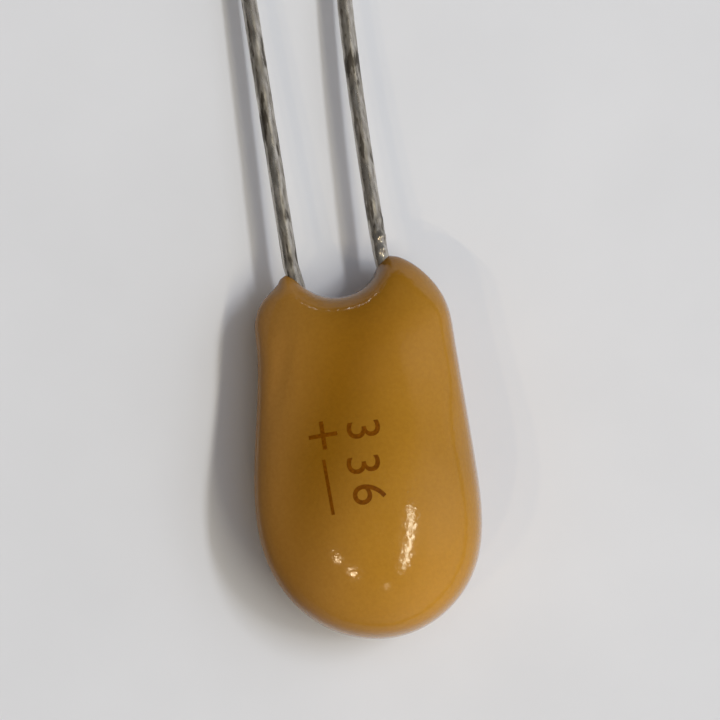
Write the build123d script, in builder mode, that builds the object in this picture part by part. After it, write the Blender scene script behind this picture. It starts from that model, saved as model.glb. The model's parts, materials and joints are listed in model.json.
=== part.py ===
"""Dipped solid tantalum capacitor with two radial wire leads, lying at rest on a flat surface.

A sintered tantalum slug carries its cathode coats, a riser wire and an insulating washer.
One tinned lead is welded to the riser wire and the other is soldered to the side of the slug.
A drop of epoxy is dipped over the whole assembly and climbs a little way up both leads.

Every piece is placed from the seat, the plane across the two leads where they leave the epoxy.
Its X runs from the positive lead to the negative lead, its Y is the thickness, upwards as it
lies, and its Z is the depth into the drop, so the leads run to negative depths.
"""

import os
from math import atan, atan2, cos, exp, pi, radians, sin, sqrt, tan

from build123d import *

# --- Leads -----------------------------------------------------------------------------------
lead_diameter = 0.50
lead_pitch = 2.88
lead_length = 21.0
bend_start = 3.0  # straight stretch of the negative lead above the seat
bend_radius = 110.0
bend_angle = 3.5

# --- Slug, riser wire and washer -------------------------------------------------------------
slug_width = 4.2
slug_thickness = 3.0
slug_length = 6.2
slug_corner = 1.2
riser_diameter = 0.30
riser_stub = 1.9  # how far the riser stands out of the slug
riser_embedded = 4.0
washer_diameter = 1.4
washer_thickness = 0.25

# --- Cathode coats, from the slug outwards ---------------------------------------------------
dioxide_thickness = 0.08
graphite_thickness = 0.05
silver_thickness = 0.07
graphite_margin = 0.30  # how far each dip stops short of the top of the slug
silver_margin = 0.55

# --- Joints inside the drop ------------------------------------------------------------------
weld_overlap = 1.0
weld_sink = 0.06  # how far the riser and the positive lead are pressed into each other
lead_end_gap = 0.20  # between the end of the positive lead and the washer
weld_jog_depth = 0.6  # where the seat end of the positive jog's slope lies
jog_radius = 0.7
solder_jog_depth = 0.6  # where the seat end of the negative jog's slope lies
jog_clearance = 0.7  # between that slope and the top of the slug
solder_film = 0.05
solder_length = 4.4
solder_width = 1.0
solder_foot = 0.3  # how far the bead's foot follows the rounding of the silvered side
solder_cover = 0.12

# --- Epoxy drop ------------------------------------------------------------------------------
riser_wall = 0.74  # epoxy over the end of the riser, below the notch
end_wall = 1.9
bulge_wall_positive = 1.47
bulge_wall_negative = 0.54
bulge_wall_face = 0.90
bulge_drop = 4.1  # from the top of the slug down to the widest section
neck_wall_positive = 0.60
neck_wall_negative = 0.50
neck_wall_face = 0.30
neck_depth_positive = 1.6
neck_depth_negative = 2.0
neck_depth_face = 3.0
shoulder_fullness = 1.6  # 2 is a plain ellipse
cap_fullness = 2.15
crown_positive = 0.05  # how far the epoxy climbs each lead above the seat
crown_negative = 0.20
crown_inset = 0.10  # the skin closes this far inside the outer side of each lead
crown_thickness = 0.70
notch_depth = 0.96
notch_exit_depth = 0.40  # where the notch meets the inner side of each lead
notch_rounding = 0.25

# --- Fineness of the drop's skin -------------------------------------------------------------
ray_count = 22
ray_steps = 10
notch_share = 0.25  # crowds the points of a ray towards the notch
skin_tolerance = 0.001

# --- Sizes worked out from those above -------------------------------------------------------
lead_radius = lead_diameter / 2
riser_radius = riser_diameter / 2
riser_top = notch_depth + riser_wall
slug_top = riser_top + riser_stub
slug_floor = slug_top + slug_length
washer_top = slug_top - washer_thickness
coats = dioxide_thickness + graphite_thickness + silver_thickness
coated_half_width = slug_width / 2 + coats
coated_half_thickness = slug_thickness / 2 + coats
lead_end = washer_top - lead_end_gap
weld_top = lead_end - weld_overlap
weld_face = weld_sink / 2 - riser_radius
weld_lead_x = weld_face + weld_sink / 2 - lead_radius
weld_jog_angle = atan2(weld_lead_x + lead_pitch / 2, weld_top - weld_jog_depth)
weld_jog_radius = weld_jog_depth / tan(weld_jog_angle / 2)  # its bend starts at the seat
soldered_lead_x = coated_half_width + solder_film + lead_radius
solder_jog_end = slug_top - jog_clearance
solder_jog_angle = atan2(soldered_lead_x - lead_pitch / 2, solder_jog_end - solder_jog_depth)
solder_jog_radius = solder_jog_depth / tan(solder_jog_angle / 2)  # its bend starts at the seat
solder_top = slug_top + silver_margin
soldered_lead_end = solder_top + solder_length - solder_cover

bulge_depth = slug_top + bulge_drop
drop_length = slug_floor + coats + end_wall
bulge_positive = coated_half_width + bulge_wall_positive
bulge_negative = soldered_lead_x + lead_radius + bulge_wall_negative
bulge_face = coated_half_thickness + bulge_wall_face
neck_positive = coated_half_width + neck_wall_positive
neck_negative = soldered_lead_x + lead_radius + neck_wall_negative
neck_face = coated_half_thickness + neck_wall_face
crown_reach = lead_pitch / 2 + lead_radius - crown_inset

# The notch is a circle through its own floor and through the inner side of each lead
notch_half_width = lead_pitch / 2 - lead_radius
notch_rise = notch_depth - notch_exit_depth
notch_radius = (notch_half_width**2 + notch_rise**2) / (2 * notch_rise)
notch_centre = notch_depth - notch_radius


# --- Outline of the drop ---------------------------------------------------------------------
def reach(depth, climb, crown, neck_depth, neck, bulge):
    """Distance from the seat's axis to the skin: shoulder, then widening body, then round cap."""
    if depth < neck_depth:
        share = min(1, (neck_depth - depth) / (neck_depth + climb))
        return crown + (neck - crown) * (1 - share**shoulder_fullness) ** (1 / shoulder_fullness)
    if depth < bulge_depth:
        share = (depth - neck_depth) / (bulge_depth - neck_depth)
        return neck + (bulge - neck) * share * share * (3 - 2 * share)
    share = (depth - bulge_depth) / (drop_length - bulge_depth)
    return bulge * (1 - share**cap_fullness) ** (1 / cap_fullness)


def face_reach(depth):
    """Half thickness of the drop on the seat's axis."""
    return reach(
        depth, crown_negative, crown_thickness / 2, neck_depth_face, neck_face, bulge_face
    )


def side_reach(depth, x):
    """Half width of the drop in the plane of the leads, on the side that x is on."""
    if x < 0:
        return reach(
            depth, crown_positive, crown_reach, neck_depth_positive, neck_positive, bulge_positive
        )
    return reach(
        depth, crown_negative, crown_reach, neck_depth_negative, neck_negative, bulge_negative
    )


# --- Seat: the part lies on the belly of the drop and on the tips of its leads -----------------
belly_count = 400
belly_depths = [drop_length * step / belly_count for step in range(belly_count)]
tilt = atan(
    max((face_reach(depth) - lead_radius) / (depth + lead_length) for depth in belly_depths)
)
seat = Plane(
    origin=(
        (bulge_positive - bulge_negative) / 2,
        (drop_length - lead_length) / 2 * cos(tilt),
        lead_length * sin(tilt) + lead_radius * cos(tilt),
    ),
    x_dir=(1, 0, 0),
    z_dir=(0, -cos(tilt), sin(tilt)),
)
# The plane that holds both leads: its X is the seat's X and its Y is the depth
lead_plane = Plane(origin=seat.origin, x_dir=seat.x_dir, z_dir=-seat.y_dir)


# --- Slug, pressed and sintered on its riser wire ----------------------------------------------
def slug_section(coat=0, mode=Mode.ADD):
    """Rounded section of the slug grown by a coat, drawn in the sketch that calls it."""
    RectangleRounded(
        slug_width + 2 * coat, slug_thickness + 2 * coat, slug_corner + coat, mode=mode
    )


with BuildPart() as anode_slug:
    with BuildSketch(seat.offset(slug_top)):
        slug_section()
    extrude(amount=slug_length)
    with BuildSketch(seat.offset(slug_top)):
        Circle(riser_radius)
    extrude(amount=riser_embedded, mode=Mode.SUBTRACT)

with BuildPart() as riser_wire:
    with BuildSketch(seat.offset(riser_top)):
        Circle(riser_radius)
    extrude(amount=riser_stub + riser_embedded)
    # flat where the positive lead is pressed against it and welded
    with BuildSketch(seat.offset(riser_top)):
        with Locations((weld_face, 0)):
            Rectangle(riser_radius, riser_diameter, align=(Align.MAX, Align.CENTER))
    extrude(amount=lead_end - riser_top, mode=Mode.SUBTRACT)

with BuildPart() as riser_washer:
    with BuildSketch(seat.offset(washer_top)):
        Circle(washer_diameter / 2)
        Circle(riser_radius, mode=Mode.SUBTRACT)
    extrude(amount=washer_thickness)


# --- Cathode coats, each a thin cup dipped over the one before ---------------------------------
def dipped_coat(inside, thickness, top):
    """A cup of the given thickness over what lies inside it, open at its top."""
    with BuildPart() as cup:
        with BuildSketch(seat.offset(top)):
            slug_section(inside + thickness)
        extrude(amount=slug_floor + inside + thickness - top)
        with BuildSketch(seat.offset(top)):
            slug_section(inside)
        extrude(amount=slug_floor + inside - top, mode=Mode.SUBTRACT)
    return cup


manganese_dioxide_coat = dipped_coat(0, dioxide_thickness, slug_top)
graphite_coat = dipped_coat(dioxide_thickness, graphite_thickness, slug_top + graphite_margin)
silver_coat = dipped_coat(
    dioxide_thickness + graphite_thickness, silver_thickness, slug_top + silver_margin
)


# --- Leads -------------------------------------------------------------------------------------
def start_plane(path):
    """Plane square to a lead at the start of its path."""
    wire = path.wires()[0]
    return Plane(origin=wire @ 0, z_dir=wire % 0)


# Straight down to the seat, then jogged inwards to lie against the riser wire
with BuildPart() as positive_lead:
    with BuildLine(lead_plane) as positive_path:
        FilletPolyline(
            (-lead_pitch / 2, -lead_length),
            (-lead_pitch / 2, weld_jog_depth),
            (weld_lead_x, weld_top),
            (weld_lead_x, lead_end),
            radius=(weld_jog_radius, jog_radius),
        )
    with BuildSketch(start_plane(positive_path)):
        Circle(lead_radius)
    sweep()
    # flat that meets the flat on the riser
    with BuildSketch(seat.offset(riser_top)):
        with Locations((weld_face, 0)):
            Rectangle(lead_radius, lead_diameter, align=(Align.MIN, Align.CENTER))
    extrude(amount=lead_end - riser_top, mode=Mode.SUBTRACT)

# Bent a little outwards above the seat, and jogged outwards to lie along the side of the slug
with BuildPart() as negative_lead:
    with BuildLine(lead_plane) as negative_path:
        bend = CenterArc(
            (lead_pitch / 2 + bend_radius, -bend_start), bend_radius, 180, bend_angle
        )
        Line(bend @ 1, bend @ 1 + bend % 1 * (lead_length - bend_start - bend.length))
        FilletPolyline(
            (lead_pitch / 2, -bend_start),
            (lead_pitch / 2, solder_jog_depth),
            (soldered_lead_x, solder_jog_end),
            (soldered_lead_x, soldered_lead_end),
            radius=(solder_jog_radius, jog_radius),
        )
    with BuildSketch(start_plane(negative_path)):
        Circle(lead_radius)
    sweep()

# Bead round the negative lead, with a wide foot that follows the silvered side of the slug
with BuildPart() as solder_bead:
    with BuildSketch(seat.offset(solder_top)):
        with Locations((soldered_lead_x, 0)):
            Circle(lead_radius + solder_cover)
        with Locations((coated_half_width - solder_foot, 0)):
            Rectangle(
                solder_foot + solder_film + lead_radius,
                solder_width,
                align=(Align.MIN, Align.CENTER),
            )
        make_hull()
        slug_section(coats, mode=Mode.SUBTRACT)
    extrude(amount=solder_length)
    add(negative_lead.part, mode=Mode.SUBTRACT)


# --- Epoxy drop --------------------------------------------------------------------------------
# The skin is drawn over rays in the plane of the leads. They fan out from the centre of the
# notch, from the crown at one lead, under the round end of the drop, to the crown at the other.
def ray_length(angle):
    """Distance from the notch's centre to the outline along a ray, found by halving."""
    near, far = notch_radius, drop_length - notch_centre
    while far - near > skin_tolerance / 100:
        middle = (near + far) / 2
        x, depth = middle * sin(angle), notch_centre + middle * cos(angle)
        if abs(x) < side_reach(depth, x):
            near = middle
        else:
            far = middle
    return near


def skin_height(distance, angle):
    """Height of the skin over the plane of the leads: an oval, rounded off at the notch."""
    x, depth = distance * sin(angle), notch_centre + distance * cos(angle)
    across = min(1, x / side_reach(depth, x)) if x > 0 else max(-1, x / side_reach(depth, x))
    rounding = 1 - exp((notch_radius - distance) / notch_rounding)
    return face_reach(depth) * sqrt((1 - across**2) * rounding)


def ray_points(angle):
    """Points over the skin along one ray, from the notch out to the outline."""
    span = ray_length(angle) - notch_radius
    points = []
    for step in range(ray_steps + 1):
        swing = (1 - cos(pi * step / ray_steps)) / 2
        distance = notch_radius + span * swing * (notch_share + (1 - notch_share) * swing)
        height = skin_height(distance, angle) if 0 < step < ray_steps else 0
        points.append(
            seat.from_local_coords(
                (distance * sin(angle), height, notch_centre + distance * cos(angle))
            )
        )
    return points


# Rays stand closest together at the two crowns
first_ray = -atan2(crown_reach, -crown_positive - notch_centre)
last_ray = atan2(crown_reach, -crown_negative - notch_centre)
middle_ray = (first_ray + last_ray) / 2
ray_angles = [
    middle_ray + (last_ray - middle_ray) * sin(pi * (step / ray_count - 1 / 2))
    for step in range(ray_count + 1)
]
upper_skin = Face.make_surface_from_array_of_points(
    [ray_points(angle) for angle in ray_angles], tol=skin_tolerance
)
lower_skin = upper_skin.mirror(lead_plane)
crown_edges = upper_skin.edges().sort_by(SortBy.LENGTH)[:2]
crown_ends = [Face(Wire([edge, edge.mirror(lead_plane)])) for edge in crown_edges]

embedded_pieces = {
    "anode_slug": anode_slug,
    "riser_wire": riser_wire,
    "riser_washer": riser_washer,
    "manganese_dioxide_coat": manganese_dioxide_coat,
    "graphite_coat": graphite_coat,
    "silver_coat": silver_coat,
    "solder_bead": solder_bead,
    "positive_lead": positive_lead,
    "negative_lead": negative_lead,
}

with BuildPart() as epoxy_coat:
    add(Solid(Shell([upper_skin, lower_skin, *crown_ends])))
    for piece in embedded_pieces.values():
        add(piece.part, mode=Mode.SUBTRACT)

# --- One file for each piece -------------------------------------------------------------------
os.makedirs("parts", exist_ok=True)
for name, piece in {"epoxy_coat": epoxy_coat, **embedded_pieces}.items():
    piece.part.label = name
    export_step(piece.part, f"parts/{name}.step")
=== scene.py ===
"""Dressed model of a dipped tantalum capacitor, put together in the order a maker works.

Sizes are in millimetres and named for the piece they belong to. Places are measured from the
seat of the leads, which comes from the frame.
"""

import json
import math

import bmesh
import bpy
from mathutils import Matrix, Vector, noise
from mathutils.bvhtree import BVHTree


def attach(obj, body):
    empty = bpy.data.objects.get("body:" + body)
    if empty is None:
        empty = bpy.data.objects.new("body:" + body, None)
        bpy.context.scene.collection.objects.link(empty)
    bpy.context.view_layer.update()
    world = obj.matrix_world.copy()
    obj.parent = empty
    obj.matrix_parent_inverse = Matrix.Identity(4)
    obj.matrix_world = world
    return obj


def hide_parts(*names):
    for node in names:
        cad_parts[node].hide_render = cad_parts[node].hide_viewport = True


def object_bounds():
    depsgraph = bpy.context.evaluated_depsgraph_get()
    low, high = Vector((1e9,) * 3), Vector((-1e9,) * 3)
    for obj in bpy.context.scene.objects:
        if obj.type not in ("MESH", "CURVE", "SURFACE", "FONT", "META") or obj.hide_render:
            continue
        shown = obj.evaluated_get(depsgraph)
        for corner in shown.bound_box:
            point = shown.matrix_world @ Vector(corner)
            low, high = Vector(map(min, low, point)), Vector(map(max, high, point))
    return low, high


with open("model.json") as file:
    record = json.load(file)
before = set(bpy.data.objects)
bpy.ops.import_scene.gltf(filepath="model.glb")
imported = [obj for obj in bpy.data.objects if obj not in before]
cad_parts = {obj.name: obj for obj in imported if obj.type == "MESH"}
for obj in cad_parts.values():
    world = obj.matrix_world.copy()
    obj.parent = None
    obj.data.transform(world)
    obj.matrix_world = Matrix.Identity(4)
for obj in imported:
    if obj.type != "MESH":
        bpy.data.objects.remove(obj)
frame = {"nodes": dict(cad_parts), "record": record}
cad_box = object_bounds()

# --- Anode slug --------------------------------------------------------------------------------
# Tantalum powder pressed round the riser wire and sintered in vacuum into a porous block.
# Its grains stay visible, so it is dark grey, dull and rough, mottled with paler patches.
MM = 0.001  # in metres


def linear(code):
    """Linear colour, with alpha, of an sRGB hex code."""
    channels = [int(code[start : start + 2], 16) / 255 for start in (1, 3, 5)]
    return [c / 12.92 if c <= 0.04045 else ((c + 0.055) / 1.055) ** 2.4 for c in channels] + [1]


def per_metre(size_mm):
    """Texture scale that makes a pattern repeat at a real size."""
    return 1 / (size_mm * MM)


def add(tree, kind, inputs=None, stops=None, **settings):
    """Adds a shader node. Each input takes a value, or a link from another node's socket."""
    node = tree.nodes.new("ShaderNode" + kind)
    for name, value in settings.items():
        setattr(node, name, value)
    for name, value in (inputs or {}).items():
        if isinstance(value, bpy.types.NodeSocket):
            tree.links.new(value, node.inputs[name])
        else:
            node.inputs[name].default_value = value
    if stops:
        while len(node.color_ramp.elements) < len(stops):
            node.color_ramp.elements.new(1)
        for element, (place, shade) in zip(node.color_ramp.elements, stops):
            element.position = place
            element.color = linear(shade)
    return node


def new_material(name):
    """An empty material with its tree and the Object coordinates that its patterns read."""
    material = bpy.data.materials.new(name)
    material.use_nodes = True
    tree = material.node_tree
    tree.nodes.clear()
    return material, tree, add(tree, "TexCoord").outputs["Object"]


def surface(tree, inputs):
    """Ends a material in one Principled surface."""
    shader = add(tree, "BsdfPrincipled", inputs)
    add(tree, "OutputMaterial", {"Surface": shader.outputs["BSDF"]})


def dress(node_name, material):
    """Gives a node of the frame its finish."""
    frame["nodes"][node_name].material_slots[0].material = material


SINTER_GRAIN = 0.09  # clusters of powder grains, which are finer than can show
SINTER_PATCH = 4 * SINTER_GRAIN
SINTER_DEPTH = 0.02

sintered_tantalum, tree, coords = new_material("sintered_tantalum")
grains = add(tree, "TexVoronoi", {"Vector": coords, "Scale": per_metre(SINTER_GRAIN)})
patches = add(
    tree, "TexNoise", {"Vector": coords, "Scale": per_metre(SINTER_PATCH), "Detail": 5.0}
)
grey = add(
    tree, "ValToRGB", {"Fac": patches.outputs["Fac"]}, [(0.35, "#2f2f33"), (0.7, "#6a6a70")]
)
pits = add(
    tree,
    "Bump",
    {"Height": grains.outputs["Distance"], "Strength": 0.6, "Distance": SINTER_DEPTH * MM},
)
surface(
    tree,
    {
        "Base Color": grey.outputs["Color"],
        "Metallic": 0.7,
        "Roughness": 0.72,
        "Normal": pits.outputs["Normal"],
    },
)
dress("anode_slug", sintered_tantalum)

# --- Riser wire --------------------------------------------------------------------------------
# Drawn tantalum wire, sintered into the slug, with a flat where the positive lead is welded.
# It is a blue-grey satin metal with fine draw lines along its length.
DRAW_LINE = 0.02
DRAW_STRETCH = 40  # how many times longer than wide a line is
DRAW_DEPTH = 0.002

pins = {mount["name"]: mount for mount in frame["record"]["mounts"]}
positive_pin, lead_pair = pins["positive_pin"], pins["lead_pair"]
leads_out = Vector(positive_pin["axis"])
across = Vector((1, 0, 0))
lead_radius = positive_pin["dims"]["r_mm"]
pitch = lead_pair["dims"]["pcd_mm"]

# The seat: the middle of the two leads where they leave the drop. X runs across the leads,
# Y out along them and Z up through the drop's thickness, in millimetres.
seat_point = (
    Vector(positive_pin["pos_m"])
    - leads_out * positive_pin["dims"]["length_mm"] / 2 * MM
    + across * pitch / 2 * MM
)
seat = Matrix.Translation(seat_point) @ Matrix(
    [across, leads_out, across.cross(leads_out)]
).transposed().to_4x4() @ Matrix.Scale(MM, 4)
seat_turn = seat.to_euler()

drawn_tantalum, tree, coords = new_material("drawn_tantalum")
along = add(
    tree,
    "Mapping",
    {"Vector": coords, "Rotation": (-seat_turn.x, 0, 0), "Scale": (1, 1 / DRAW_STRETCH, 1)},
)
lines = add(
    tree, "TexNoise", {"Vector": along.outputs["Vector"], "Scale": per_metre(DRAW_LINE)}
)
blue_grey = add(
    tree, "ValToRGB", {"Fac": lines.outputs["Fac"]}, [(0.3, "#6d6f78"), (0.7, "#9a9ca5")]
)
scored = add(
    tree, "Bump", {"Height": lines.outputs["Fac"], "Strength": 0.3, "Distance": DRAW_DEPTH * MM}
)
surface(
    tree,
    {
        "Base Color": blue_grey.outputs["Color"],
        "Metallic": 1.0,
        "Roughness": 0.34,
        "Normal": scored.outputs["Normal"],
    },
)
dress("riser_wire", drawn_tantalum)

# --- Riser washer ------------------------------------------------------------------------------
# Punched PTFE washer, pushed down the riser to stop the coats from creeping up the wire.
# It is white, waxy and slightly see-through, with a faint skived grain.
PTFE_GRAIN = 0.25
PTFE_GRAIN_DEPTH = 0.004
PTFE_GLOW = 0.3  # how far light soaks in

ptfe, tree, coords = new_material("white_ptfe")
skived = add(
    tree, "TexNoise", {"Vector": coords, "Scale": per_metre(PTFE_GRAIN), "Detail": 3.0}
)
white = add(
    tree, "ValToRGB", {"Fac": skived.outputs["Fac"]}, [(0.3, "#dfdfd8"), (0.7, "#f1f1ec")]
)
waxy = add(
    tree,
    "Bump",
    {"Height": skived.outputs["Fac"], "Strength": 0.2, "Distance": PTFE_GRAIN_DEPTH * MM},
)
surface(
    tree,
    {
        "Base Color": white.outputs["Color"],
        "Roughness": 0.48,
        "IOR": 1.35,
        "Subsurface Weight": 0.2,
        "Subsurface Scale": PTFE_GLOW * MM,
        "Normal": waxy.outputs["Normal"],
    },
)
dress("riser_washer", ptfe)

# --- Cathode coats -----------------------------------------------------------------------------
# Manganese dioxide grown on the slug in an oven, then dips of graphite and of silver paint.
# All three are thin, uneven and dull: sooty black, soft dark grey and pale metallic grey.
CRUST_DEPTH = 0.02
COATS = {
    "manganese_dioxide_coat": {
        "name": "manganese_dioxide",
        "crust": 0.12,
        "dark": "#141315",
        "light": "#2c2a2b",
        "metallic": 0.0,
        "roughness": 0.88,
    },
    "graphite_coat": {
        "name": "graphite_dip",
        "crust": 0.2,
        "dark": "#232427",
        "light": "#3d3f43",
        "metallic": 0.2,
        "roughness": 0.6,
    },
    "silver_coat": {
        "name": "silver_paint",
        "crust": 0.3,
        "dark": "#a6a49f",
        "light": "#cfcdc8",
        "metallic": 0.75,
        "roughness": 0.45,
    },
}
for node_name, coat in COATS.items():
    finish, tree, coords = new_material(coat["name"])
    crust = add(
        tree,
        "TexNoise",
        {"Vector": coords, "Scale": per_metre(coat["crust"]), "Detail": 6.0, "Roughness": 0.6},
    )
    shade = add(
        tree,
        "ValToRGB",
        {"Fac": crust.outputs["Fac"]},
        [(0.3, coat["dark"]), (0.7, coat["light"])],
    )
    uneven = add(
        tree,
        "Bump",
        {"Height": crust.outputs["Fac"], "Strength": 0.5, "Distance": CRUST_DEPTH * MM},
    )
    surface(
        tree,
        {
            "Base Color": shade.outputs["Color"],
            "Metallic": coat["metallic"],
            "Roughness": coat["roughness"],
            "Normal": uneven.outputs["Normal"],
        },
    )
    dress(node_name, finish)

# --- Solder bead -------------------------------------------------------------------------------
# Tin solder run along the negative lead to hold it on the silvered side of the slug.
# It froze smooth and bright, with a slight frosting of its crystals.
SOLDER_CRYSTAL = 0.1
SOLDER_DEPTH = 0.005

solder, tree, coords = new_material("solder")
crystals = add(
    tree, "TexVoronoi", {"Vector": coords, "Scale": per_metre(SOLDER_CRYSTAL)}
)
frost = add(
    tree, "ValToRGB", {"Fac": crystals.outputs["Distance"]}, [(0.1, "#c3c3c4"), (0.8, "#9b9b9d")]
)
frozen = add(
    tree,
    "Bump",
    {"Height": crystals.outputs["Distance"], "Strength": 0.15, "Distance": SOLDER_DEPTH * MM},
)
surface(
    tree,
    {
        "Base Color": frost.outputs["Color"],
        "Metallic": 1.0,
        "Roughness": 0.26,
        "Normal": frozen.outputs["Normal"],
    },
)
dress("solder_bead", solder)

# --- Leads -------------------------------------------------------------------------------------
# Copper-clad steel wire, dip-tinned and sheared to length. Handling has dulled the tin and
# left small dents along it, and drops of tin have set on the negative lead close to the drop.
WELD = 1e-7  # corners nearer than this, in metres, are one corner
ROOT = -0.7  # out from the seat: where the worn surface starts, inside the drop
TIP = 20.95  # and where it ends, within one ring
STATION = 1.0  # the centre line is found this often
TIP_MARGIN = 0.05  # and once more, this far short of the tip
RING_STEP = 0.045
RING_CORNERS = 44
SIDE_SHIFT = 7  # keeps the wear of the two leads from being alike
DENT_LENGTH = 0.7
DENT_DEPTH = 0.016
SCORE_LENGTH = 0.5
SCORE_WIDTH = 0.05
SCORE_DEPTH = 0.004
TIN_DROPS = (
    # across from the lead's axis, out from the seat, up from the axis, size, height
    (0.12, 0.74, 0.21, 0.14, 0.13),
    (0.10, 0.34, 0.22, 0.13, 0.12),
    (-0.03, 0.98, 0.25, 0.12, 0.045),
    (0.20, 1.30, 0.14, 0.12, 0.035),
    (-0.10, 0.55, 0.23, 0.09, 0.040),
)
TIN_STREAK = 0.12
TIN_STAIN = 0.3
TIN_CREASE = 0.13
TIN_STRETCH = 5  # how many times longer along the wire these are
CREASE_DEPTH = 0.008
SCRATCH_DEPTH = 0.004
STAIN_SHARE = 0.8


def merged_copy(node_name):
    """The CAD node's surface with its loose triangles joined up."""
    mesh = bmesh.new()
    mesh.from_mesh(frame["nodes"][node_name].data)
    bmesh.ops.remove_doubles(mesh, verts=mesh.verts, dist=WELD)
    return mesh


def as_piece(mesh, name, material):
    """Turns a bmesh into a named object of the part, with a smooth finish."""
    data = bpy.data.meshes.new(name)
    mesh.to_mesh(data)
    mesh.free()
    data.materials.append(material)
    data.shade_smooth()
    piece = bpy.data.objects.new(name, data)
    bpy.context.scene.collection.objects.link(piece)
    return piece


tinned_wire, tree, coords = new_material("tinned_wire")
along = add(
    tree,
    "Mapping",
    {"Vector": coords, "Rotation": (-seat_turn.x, 0, 0), "Scale": (1, 1 / TIN_STRETCH, 1)},
)
streaks = add(
    tree,
    "TexNoise",
    {"Vector": along.outputs["Vector"], "Scale": per_metre(TIN_STREAK), "Detail": 2.0},
)
stains = add(
    tree,
    "TexNoise",
    {
        "Vector": along.outputs["Vector"],
        "Scale": per_metre(TIN_STAIN),
        "Detail": 5.0,
        "Roughness": 0.6,
    },
)
creases = add(
    tree, "TexVoronoi", {"Vector": along.outputs["Vector"], "Scale": per_metre(TIN_CREASE)}
)
tin = add(
    tree,
    "ValToRGB",
    {"Fac": streaks.outputs["Fac"]},
    [(0.32, "#99938a"), (0.5, "#b3aea5"), (0.68, "#d0ccc5")],
)
stained = add(
    tree,
    "ValToRGB",
    {"Fac": stains.outputs["Fac"]},
    [(0.40, "#5f5850"), (0.46, "#ffffff")],
)
dull = add(
    tree,
    "Mix",
    {0: STAIN_SHARE, 6: tin.outputs["Color"], 7: stained.outputs["Color"]},
    data_type="RGBA",
    blend_type="MULTIPLY",
)
rough = add(
    tree,
    "MapRange",
    {
        "Value": stains.outputs["Fac"],
        "From Min": 0.4,
        "From Max": 0.6,
        "To Min": 0.5,
        "To Max": 0.22,
    },
)
creased = add(
    tree,
    "Bump",
    {"Height": creases.outputs["Distance"], "Strength": 0.4, "Distance": CREASE_DEPTH * MM},
)
scratched = add(
    tree,
    "Bump",
    {
        "Height": streaks.outputs["Fac"],
        "Strength": 0.3,
        "Distance": SCRATCH_DEPTH * MM,
        "Normal": creased.outputs["Normal"],
    },
)
surface(
    tree,
    {
        "Base Color": dull.outputs[2],
        "Metallic": 0.8,
        "Roughness": rough.outputs["Result"],
        "Normal": scratched.outputs["Normal"],
    },
)


def centre_at(wire, out):
    """Middle of a lead where a plane square to the leads cuts it, in seat millimetres."""
    trial = wire.copy()
    cut = bmesh.ops.bisect_plane(
        trial,
        geom=trial.verts[:] + trial.edges[:] + trial.faces[:],
        plane_co=seat @ Vector((0, out, 0)),
        plane_no=leads_out,
    )["geom_cut"]
    rim = [seat.inverted() @ corner.co for corner in cut if isinstance(corner, bmesh.types.BMVert)]
    trial.free()
    low, high = (Vector(edge(axis) for axis in zip(*rim)) for edge in (min, max))
    return (low + high) / 2


def worn_radius(angle, out, side):
    """Radius of a lead at one spot of its surface, with its dents, scores and drops of tin."""
    spot = Vector((math.cos(angle), 0, math.sin(angle))) * lead_radius
    spot.y = out
    shift = Vector((SIDE_SHIFT * side, 0, 0))
    score_spot = Vector((spot.x / SCORE_WIDTH, out / SCORE_LENGTH, spot.z / SCORE_WIDTH))
    radius = lead_radius - DENT_DEPTH * max(0, noise.noise(spot / DENT_LENGTH + shift))
    radius -= SCORE_DEPTH * abs(noise.noise(score_spot + shift))
    if side > 0:
        for x, y, z, size, height in TIN_DROPS:
            away = (spot - Vector((x, y, z))).length / size
            radius += height * math.exp(-away * away)
    return radius


station_count = int((TIP - ROOT) / STATION) + 1
stations = [ROOT + STATION * step for step in range(station_count)] + [TIP - TIP_MARGIN]
ring_count = int((TIP - ROOT) / RING_STEP)
for node_name, side in (("positive_lead", -1), ("negative_lead", 1)):
    lead = merged_copy(node_name)
    centres = [centre_at(lead, out) for out in stations]
    bmesh.ops.bisect_plane(
        lead,
        geom=lead.verts[:] + lead.edges[:] + lead.faces[:],
        plane_co=seat @ Vector((0, ROOT, 0)),
        plane_no=leads_out,
        clear_outer=True,
    )
    rings = []
    for number in range(ring_count + 1):
        out = ROOT + number * RING_STEP
        before = min(int((out - ROOT) / STATION), len(stations) - 2)
        share = (out - stations[before]) / (stations[before + 1] - stations[before])
        centre = centres[before].lerp(centres[before + 1], share)
        rings.append([])
        for corner in range(RING_CORNERS):
            angle = 2 * math.pi * corner / RING_CORNERS
            radius = worn_radius(angle, out, side)
            spoke = Vector((math.cos(angle), 0, math.sin(angle))) * radius
            rings[-1].append(lead.verts.new(seat @ (centre + spoke)))
    for inner, outer in zip(rings, rings[1:]):
        for corner in range(RING_CORNERS):
            following = (corner + 1) % RING_CORNERS
            lead.faces.new((inner[corner], outer[corner], outer[following], inner[following]))
    lead.faces.new(rings[-1])
    bmesh.ops.recalc_face_normals(lead, faces=lead.faces)
    worn_lead = as_piece(lead, "tinned_" + node_name, tinned_wire)
    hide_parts(node_name)
    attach(worn_lead, "root")

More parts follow.
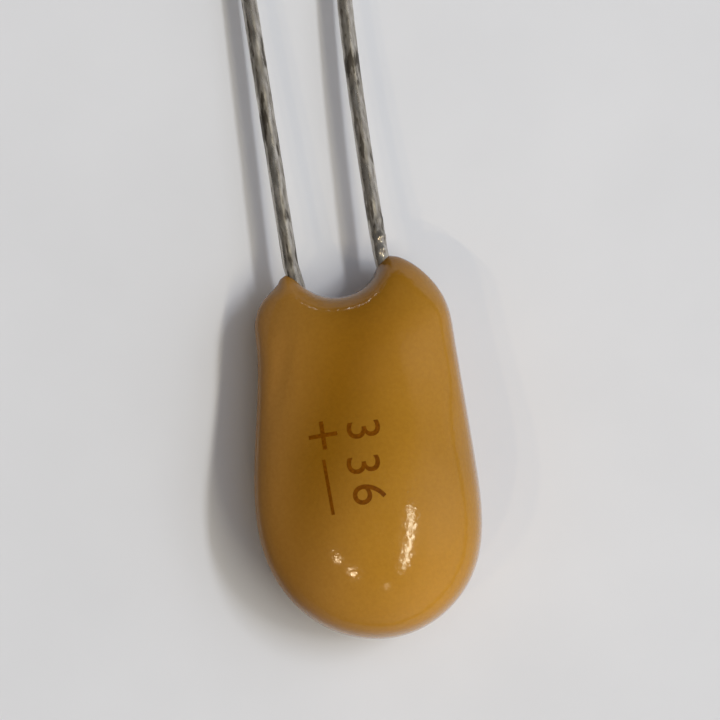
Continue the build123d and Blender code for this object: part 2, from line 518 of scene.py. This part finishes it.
# --- Epoxy drop --------------------------------------------------------------------------------
# Filled epoxy, dipped over the whole assembly and cured while it hung from its leads. It ran
# to a round end, drew in over the slug, sagged to a notch between the leads and wetted them.
DROP_MIDDLE = -4.5  # out from the seat: a point that sees the whole skin
SPHERE_LEVEL = 7  # how finely that point looks round
SMOOTHING_PASSES = 7
SMOOTHING = 0.5  # how far one pass moves a corner towards its neighbours' middle
SLICE = 0.12  # the drop's width is measured this often
LEAST_WIDTH = 0.01
PLUG_CORNERS = 32  # of the disc that closes the skin where a lead goes in
NOTCH_EXIT = -0.43  # where the skin meets the inner side of each lead, out from the seat
CROWN_EXIT = {-1: 0.0, 1: 0.12}  # and where it meets the outer side
MENISCUS_CLIMB = 0.10
MENISCUS_WIDTH = 0.09
MENISCUS_START = -1  # out from the seat: only the skin beyond this can climb
FULLNESS = 2.2  # of the drop's section, where 2 is a plain ellipse
RIM_FULLNESS = 3.0  # how strongly it grows fuller, from RIM_START on
RIM_START = 0.6  # as a share of the way from the crest to the rim
RIM_LIMIT = 0.96  # beyond this share it stays as full
BODY_START = (-1.0, -2.0)  # out from the seat: between these the fuller section sets in
CREST_TRIM = 0.999  # keeps the crest of the fuller section just below the solid drop's
END_START = -8.0  # out from the seat: where the round end begins
SETTLING_PASSES = 4
DRAWN_PLACE = -0.32  # out from the seat: where the skin draws in below the positive crown
DRAWN_LENGTH = 0.3
DRAWN_DEPTH = 0.2
DRAWN_SIDE = (-1.6, -2.1)  # across: between these it grows to the full depth
SHADE_BAND_PLACE = (-0.8, -5.0)  # painted shade: the drop is painted darkest along a leaning line through this point
SHADE_BAND_LEAN = 0.42
SHADE_BAND_WIDTH = 1.5
SHADE_BAND_TAIL = (-6.0, -13.0)  # out from the seat: between these the painted shade fades out
LIT_SIDE_SPAN = (-2.9, 0.3)  # across: between these a duller brown with weaker reflection, painted shade on the side turned from the lamps, gives way to clear ochre
LIGHT_POOL_LOW = (-7.5, -11.0)  # out from the seat: the round end is painted lighter and more golden, a painted pool of light
LIGHT_POOL_SIDE = (-2.5, 1.5)  # across: and more so towards the negative lead's side, which faces the lamps
LIGHT_POOL_END = 0.75  # how strongly the light is painted there
LIGHT_POOL_ALL = 0.1  # and how strongly along the whole of that side
EPOXY_CLOUD = 3.5
FILLER_SPECKLE = 0.12
SPECKLE_SHARE = 0.5
FLOW_RIPPLE = 0.22
RIPPLE_DEPTH = 0.010
EPOXY_GLOW = 0.3  # how far light soaks in


def share_of(value, start, end):
    """How far a value has gone from start to end, from 0 to 1."""
    return max(0, min(1, (value - start) / (end - start)))


def smooth(mesh, passes):
    """Evens out a bmesh."""
    for _ in range(passes):
        bmesh.ops.smooth_vert(
            mesh,
            verts=mesh.verts,
            factor=SMOOTHING,
            use_axis_x=True,
            use_axis_y=True,
            use_axis_z=True,
        )


dipped = merged_copy("epoxy_coat")
for side, crown_exit in CROWN_EXIT.items():
    slant = Matrix.Identity(4)
    slant[1][0] = side * (crown_exit - NOTCH_EXIT) / 2 / lead_radius
    plug_place = (side * pitch / 2, (crown_exit + NOTCH_EXIT) / 2, 0)
    bmesh.ops.create_circle(
        dipped,
        cap_ends=True,
        segments=PLUG_CORNERS,
        radius=lead_radius,
        matrix=seat @ Matrix.Translation(plug_place) @ slant @ Matrix.Rotation(math.pi / 2, 4, "X"),
    )
skin_target = BVHTree.FromBMesh(dipped)
dipped.free()

drop = bmesh.new()
bmesh.ops.create_icosphere(drop, subdivisions=SPHERE_LEVEL, radius=1)
middle = seat @ Vector((0, DROP_MIDDLE, 0))
outside = (cad_box[1] - cad_box[0]).length
for vert in drop.verts:
    ray = (seat.to_3x3() @ vert.co).normalized()
    vert.co = skin_target.ray_cast(middle + ray * outside, -ray)[0]
smooth(drop, SMOOTHING_PASSES)
half_widths = {}
end_tip = min((seat.inverted() @ vert.co).y for vert in drop.verts)
for vert in drop.verts:
    place = seat.inverted() @ vert.co
    slice_key = (place.x > 0, round(place.y / SLICE))
    half_widths[slice_key] = max(half_widths.get(slice_key, 0), abs(place.x))
for vert in drop.verts:
    place = seat.inverted() @ vert.co
    low = math.floor(place.y / SLICE)
    share = place.y / SLICE - low
    near, far = (half_widths.get((place.x > 0, low + step), 0) for step in (0, 1))
    reach = max(near, far) if min(near, far) == 0 else near + (far - near) * share
    sideways = min(1, abs(place.x) / max(reach, LEAST_WIDTH))
    endways = share_of(place.y, END_START, end_tip)
    out = min(RIM_LIMIT, math.sqrt(1 - (1 - sideways**2) * (1 - endways**2)))
    power = FULLNESS + RIM_FULLNESS * max(0, out - RIM_START) ** 2
    fuller = (1 - out**power) ** (1 / power) / math.sqrt(1 - out * out)
    place.z *= CREST_TRIM * (1 + (fuller - 1) * share_of(place.y, *BODY_START))
    vert.co = seat @ place
smooth(drop, SETTLING_PASSES)

# These three layers hold painted light, not the resin's own colour: a painted shadow band along a
# leaning line, painted shade on the side turned from the lamps, and a painted pool of light on the
# round end and the lamp side.
thickness = drop.verts.layers.float.new("thickness")
gloss = drop.verts.layers.float.new("gloss")
painted_light = drop.verts.layers.float.new("painted_light")
for vert in drop.verts:
    place = seat.inverted() @ vert.co
    shade_line = SHADE_BAND_PLACE[0] + SHADE_BAND_LEAN * (place.y - SHADE_BAND_PLACE[1])
    shade_weight = math.exp(-(((place.x - shade_line) / SHADE_BAND_WIDTH) ** 2))
    vert[thickness] = shade_weight * share_of(place.y, SHADE_BAND_TAIL[1], SHADE_BAND_TAIL[0])
    vert[gloss] = share_of(place.x, *LIT_SIDE_SPAN)
    low_end = share_of(place.y, *LIGHT_POOL_LOW)
    sunny = share_of(place.x, *LIGHT_POOL_SIDE)
    vert[painted_light] = LIGHT_POOL_END * low_end * sunny + LIGHT_POOL_ALL * sunny
    drawn = math.exp(-(((place.y - DRAWN_PLACE) / DRAWN_LENGTH) ** 2))
    vert.co += across * DRAWN_DEPTH * drawn * share_of(place.x, *DRAWN_SIDE) * MM
    for side in (-1, 1):
        gap = math.hypot(place.x - side * pitch / 2, place.z) - lead_radius
        if place.y > MENISCUS_START:
            climb = MENISCUS_CLIMB * math.exp(-max(0, gap) / MENISCUS_WIDTH)
            vert.co += leads_out * climb * MM

epoxy, tree, coords = new_material("dipped_epoxy")
clouds = add(
    tree,
    "TexNoise",
    {"Vector": coords, "Scale": per_metre(EPOXY_CLOUD), "Detail": 3.0, "Roughness": 0.5},
)
filler = add(
    tree,
    "TexNoise",
    {"Vector": coords, "Scale": per_metre(FILLER_SPECKLE), "Detail": 2.0, "Roughness": 0.6},
)
ochre = add(
    tree,
    "ValToRGB",
    {"Fac": clouds.outputs["Fac"]},
    [(0.30, "#9b6d1c"), (0.70, "#a87825")],
)
# Painted shade: the side turned from the lamps is painted a duller brown and given weaker
# reflection.
lit_side_mask = add(tree, "Attribute", attribute_name="gloss")
painted_side_shade = add(
    tree,
    "Mix",
    {0: lit_side_mask.outputs["Fac"], 6: linear("#a8793c"), 7: ochre.outputs["Color"]},
    data_type="RGBA",
)
# Painted shade: a darker band along a leaning line stands in for shadow.
shade_band_mask = add(tree, "Attribute", attribute_name="thickness")
painted_band_shade = add(
    tree,
    "Mix",
    {0: shade_band_mask.outputs["Fac"], 6: painted_side_shade.outputs[2], 7: linear("#845810")},
    data_type="RGBA",
)
# Painted light: the round end and the lamp side are painted a lighter gold.
light_pool_mask = add(tree, "Attribute", attribute_name="painted_light")
painted_lit_colour = add(
    tree,
    "Mix",
    {0: light_pool_mask.outputs["Fac"], 6: painted_band_shade.outputs[2], 7: linear("#bd8729")},
    data_type="RGBA",
)
sheen_cut_in_shade = add(
    tree, "MapRange", {"Value": lit_side_mask.outputs["Fac"], "To Min": 0.02, "To Max": 0.42}
)
speckle = add(
    tree,
    "ValToRGB",
    {"Fac": filler.outputs["Fac"]},
    [(0.35, "#f0ede6"), (0.65, "#ffffff")],
)
body_colour = add(
    tree,
    "Mix",
    {0: SPECKLE_SHARE, 6: painted_lit_colour.outputs[2], 7: speckle.outputs["Color"]},
    data_type="RGBA",
    blend_type="MULTIPLY",
)
flow = add(
    tree,
    "TexNoise",
    {"Vector": coords, "Scale": per_metre(FLOW_RIPPLE), "Detail": 2.0},
)
flowed = add(
    tree, "Bump", {"Height": flow.outputs["Fac"], "Strength": 0.75, "Distance": RIPPLE_DEPTH * MM}
)
surface(
    tree,
    {
        "Base Color": body_colour.outputs[2],
        "Roughness": 0.12,
        "Specular IOR Level": sheen_cut_in_shade.outputs["Result"],
        "Subsurface Weight": 0.05,
        "Subsurface Radius": (1.0, 0.5, 0.15),
        "Subsurface Scale": EPOXY_GLOW * MM,
        "Normal": flowed.outputs["Normal"],
    },
)

bmesh.ops.recalc_face_normals(drop, faces=drop.faces)
skin_tree = BVHTree.FromBMesh(drop)
epoxy_drop = as_piece(drop, "epoxy_drop", epoxy)
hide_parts("epoxy_coat")
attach(epoxy_drop, "root")

# --- Polarity signs and number -----------------------------------------------------------------
# Brown ink printed on the cured drop: a plus sign and a bar by the positive lead, and a plain
# number that reads towards the round end. The film is thin and follows the skin.
INK_FILM = 0.006  # how far the ink stands above the skin
INK_SUNK = 0.030  # and how far it goes down into it
INK_CELL = 0.07  # the film is bent to the skin this often
INK_GRAIN = 0.09
CLEAR_OF_SKIN = 10  # up from the seat
SHARP_ANGLE = math.radians(35)
DIGITS = "336"
DIGIT_HEIGHT = 1.04
DIGIT_STEPS = ((-0.02, -5.40), (-0.19, -6.50), (-0.15, -7.42))
PLUS_PLACE = (-1.24, -5.38)
PLUS_ARM = 0.9
BAR_PLACE = (-1.32, -7.02)
BAR_LENGTH = 1.75
BAR_LEAN = 0.02
STROKE = 0.13
BAR_STROKE = 0.8 * STROKE

ink, tree, coords = new_material("brown_ink")
printed = add(
    tree, "TexNoise", {"Vector": coords, "Scale": per_metre(INK_GRAIN), "Detail": 3.0}
)
ink_brown = add(
    tree, "ValToRGB", {"Fac": printed.outputs["Fac"]}, [(0.35, "#633500"), (0.7, "#794402")]
)
surface(
    tree,
    {"Base Color": ink_brown.outputs["Color"], "Roughness": 0.4, "Specular IOR Level": 0.1},
)


def drape(mesh, name):
    """Lays a flat bmesh, drawn on the seat in millimetres, on the drop as a film of ink."""
    corners = [vert.co.copy() for vert in mesh.verts]
    for axis in (0, 1):
        line = min(corner[axis] for corner in corners)
        while line < max(corner[axis] for corner in corners):
            line += INK_CELL
            bmesh.ops.bisect_plane(
                mesh,
                geom=mesh.verts[:] + mesh.edges[:] + mesh.faces[:],
                plane_co=[line if axis == index else 0 for index in range(3)],
                plane_no=[float(axis == index) for index in range(3)],
            )
    thickness_up = (seat.to_3x3() @ Vector((0, 0, 1))).normalized()
    above = {}
    for vert in mesh.verts:
        start = seat @ Vector((vert.co.x, vert.co.y, CLEAR_OF_SKIN))
        above[vert], normal = skin_tree.ray_cast(start, -thickness_up)[:2]
        above[vert] += normal * INK_FILM * MM
    for vert, place in above.items():
        vert.co = place
    bmesh.ops.recalc_face_normals(mesh, faces=mesh.faces)
    if sum(face.normal.z for face in mesh.faces) < 0:
        bmesh.ops.reverse_faces(mesh, faces=mesh.faces)
    bmesh.ops.solidify(mesh, geom=mesh.faces[:], thickness=(INK_FILM + INK_SUNK) * MM)
    bmesh.ops.recalc_face_normals(mesh, faces=mesh.faces)
    film = as_piece(mesh, name, ink)
    film.data.set_sharp_from_angle(angle=SHARP_ANGLE)
    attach(film, "root")


def strip(mesh, centre, size, turn=0.0):
    """Adds a rectangle to a flat bmesh."""
    place = Matrix.Translation((*centre, 0)) @ Matrix.Rotation(turn, 4, "Z")
    bmesh.ops.create_grid(
        mesh, x_segments=1, y_segments=1, size=0.5, matrix=place @ Matrix.Diagonal((*size, 1, 1))
    )


plus = bmesh.new()
strip(plus, PLUS_PLACE, (STROKE, PLUS_ARM))
for side in (-1, 1):
    arm = (PLUS_ARM - STROKE) / 2
    strip(plus, (PLUS_PLACE[0] + side * (STROKE + arm) / 2, PLUS_PLACE[1]), (arm, STROKE))
drape(plus, "plus_sign")
bar = bmesh.new()
strip(bar, BAR_PLACE, (BAR_STROKE, BAR_LENGTH), BAR_LEAN)
drape(bar, "polarity_bar")
for number, (digit, place) in enumerate(zip(DIGITS, DIGIT_STEPS)):
    letter = bpy.data.curves.new("digit", "FONT")
    letter.body = digit
    letter.align_x = "CENTER"
    letter.align_y = "CENTER"
    letter_object = bpy.data.objects.new("digit", letter)
    bpy.context.scene.collection.objects.link(letter_object)
    bpy.context.view_layer.update()
    flat = bpy.data.meshes.new_from_object(letter_object)
    bpy.data.objects.remove(letter_object)
    glyph = bmesh.new()
    glyph.from_mesh(flat)
    height = max(v.co.y for v in glyph.verts) - min(v.co.y for v in glyph.verts)
    bmesh.ops.transform(
        glyph,
        verts=glyph.verts,
        matrix=Matrix.Translation((*place, 0))
        @ Matrix.Rotation(-math.pi / 2, 4, "Z")
        @ Matrix.Scale(DIGIT_HEIGHT / height, 4),
    )
    drape(glyph, f"digit_{number + 1}")

# --- Table ---------------------------------------------------------------------------------------
# A sheet of white card, which the part lies on. It is matt, with hardly any grain.
CARD_HALF = 150
CARD_MOTTLE = 6

card, tree, coords = new_material("white_card")
fibres = add(
    tree, "TexNoise", {"Vector": coords, "Scale": per_metre(CARD_MOTTLE), "Detail": 4.0}
)
white = add(
    tree, "ValToRGB", {"Fac": fibres.outputs["Fac"]}, [(0.3, "#d6d8dc"), (0.7, "#dadce0")]
)
surface(tree, {"Base Color": white.outputs["Color"], "Roughness": 0.8})

table = bmesh.new()
bmesh.ops.create_grid(table, x_segments=1, y_segments=1, size=CARD_HALF * MM)
bmesh.ops.translate(table, verts=table.verts, vec=(0, 0, cad_box[0].z))
as_piece(table, "card_table", card)

# --- Light and camera ----------------------------------------------------------------------------
# Daylight and a soft ceiling light fall from above right. A warm tube light and four small lamps
# show as glints, and the pale room is brighter towards its window. The camera looks straight down.
AIM = seat @ Vector((0, -4, 0))  # near the middle of the drop
LAMP_DISTANCE = 500
SPOT_TINT = "#ffe6bd"
TO_WINDOW = (0.8, -0.6, 0.0)
TO_GLOW = (0.72, 0, 0.69)
GLOW_EDGE = 0.9  # about the cosine of the angle where the window's glow has faded out
WINDOW_GLOW = 0.22
ROOM_LIGHT = 1.4
CAMERA_HEIGHT = 150  # above the table
CAMERA_ROLL = math.radians(9)
VIEW_WIDTH = 22.86
VIEW_PLANE = 2.3  # the height at which the view is that wide
VIEW_SHIFT = (0.74, -2.95)  # of the view's middle from the seat, as the camera is turned
SENSOR_WIDTH = 36
CLIP = (0.01, 10)  # in metres


def lamp(name, direction, size, power, tint="#ffffff", turn=0.0):
    """A rectangular light that faces the part from one direction."""
    light = bpy.data.lights.new(name, "AREA")
    light.shape = "RECTANGLE"
    light.size, light.size_y = size[0] * MM, size[1] * MM
    light.energy = power
    light.color = linear(tint)[:3]
    holder = bpy.data.objects.new(name, light)
    holder.location = AIM + Vector(direction).normalized() * LAMP_DISTANCE * MM
    facing = (AIM - holder.location).to_track_quat("-Z", "Y").to_matrix()
    holder.rotation_euler = (facing @ Matrix.Rotation(math.radians(turn), 3, "Z")).to_euler()
    bpy.context.scene.collection.objects.link(holder)
    return holder


daylight_lamp = lamp("daylight", (0.44, 0.05, 0.88), (150, 30), 0.78, "#f6f9ff", turn=-9)
fill = lamp("ceiling_light", (0.35, 0.0, 0.93), (400, 400), 0.86, "#f1f5ff")
for unseen in (daylight_lamp, fill):
    unseen.visible_glossy = False
lamp("tube_light", (0.355, -0.22, 0.89), (250, 22), 0.6, "#fff4d6", turn=12)
lamp("spot_left", (-0.49, -0.25, 0.82), (9, 9), 0.12, SPOT_TINT)
lamp("spot_low", (-0.35, -0.405, 0.82), (9, 9), 0.12, SPOT_TINT)
lamp("spot_far", (0.015, -0.63, 0.80), (9, 7), 0.03, SPOT_TINT)
lamp("spot_back", (-0.04, 0.98, 0.11), (16, 10), 0.014)

world = bpy.data.worlds.new("room")
bpy.context.scene.world = world
world.use_nodes = True
tree = world.node_tree
tree.nodes.clear()
direction = add(tree, "TexCoord").outputs["Generated"]
rise = add(tree, "SeparateXYZ", {"Vector": direction}).outputs["Z"]
walls = add(
    tree,
    "ValToRGB",
    {"Fac": rise},
    [(0.0, "#77757a"), (0.08, "#6a686a"), (0.2, "#b8b8bc"), (0.7, "#a8a8ac"), (0.95, "#606165")],
)
to_window = add(
    tree, "VectorMath", {0: direction, 1: TO_WINDOW}, operation="DOT_PRODUCT"
)
side = add(tree, "MapRange", {"Value": to_window.outputs["Value"], "From Min": -1.0})
daylight = add(
    tree,
    "ValToRGB",
    {"Fac": side.outputs["Result"]},
    [(0.15, "#404040"), (0.55, "#7c7c7c"), (0.9, "#ffffff")],
)
room = add(
    tree,
    "Mix",
    {0: 1.0, 6: walls.outputs["Color"], 7: daylight.outputs["Color"]},
    data_type="RGBA",
    blend_type="MULTIPLY",
)
to_glow = add(tree, "VectorMath", {0: direction, 1: TO_GLOW}, operation="DOT_PRODUCT")
glow = add(
    tree,
    "MapRange",
    {"Value": to_glow.outputs["Value"], "From Min": GLOW_EDGE, "To Max": WINDOW_GLOW},
)
lit_room = add(
    tree,
    "Mix",
    {0: 1.0, 6: room.outputs[2], 7: glow.outputs["Result"]},
    data_type="RGBA",
    blend_type="ADD",
)
lights = add(tree, "Background", {"Color": lit_room.outputs[2], "Strength": ROOM_LIGHT})
backdrop = add(tree, "Background", {"Color": linear("#d4d4d7")})
seen = add(
    tree,
    "MixShader",
    {
        0: add(tree, "LightPath").outputs["Is Camera Ray"],
        1: lights.outputs["Background"],
        2: backdrop.outputs["Background"],
    },
)
add(tree, "OutputWorld", {"Surface": seen.outputs["Shader"]})

eye = bpy.data.cameras.new("camera")
eye.sensor_width = SENSOR_WIDTH
eye.lens = eye.sensor_width * (CAMERA_HEIGHT - VIEW_PLANE) / VIEW_WIDTH
eye.clip_start, eye.clip_end = CLIP
camera = bpy.data.objects.new("camera", eye)
frame_middle = Matrix.Rotation(-CAMERA_ROLL, 3, "Z") @ Vector((*VIEW_SHIFT, 0))
camera.location = seat_point + Vector((frame_middle.x, frame_middle.y, 0)) * MM
camera.location.z = CAMERA_HEIGHT * MM
camera.rotation_euler = (0, 0, -CAMERA_ROLL)
bpy.context.scene.collection.objects.link(camera)
bpy.context.scene.camera = camera
bpy.context.scene.view_settings.view_transform = "Standard"
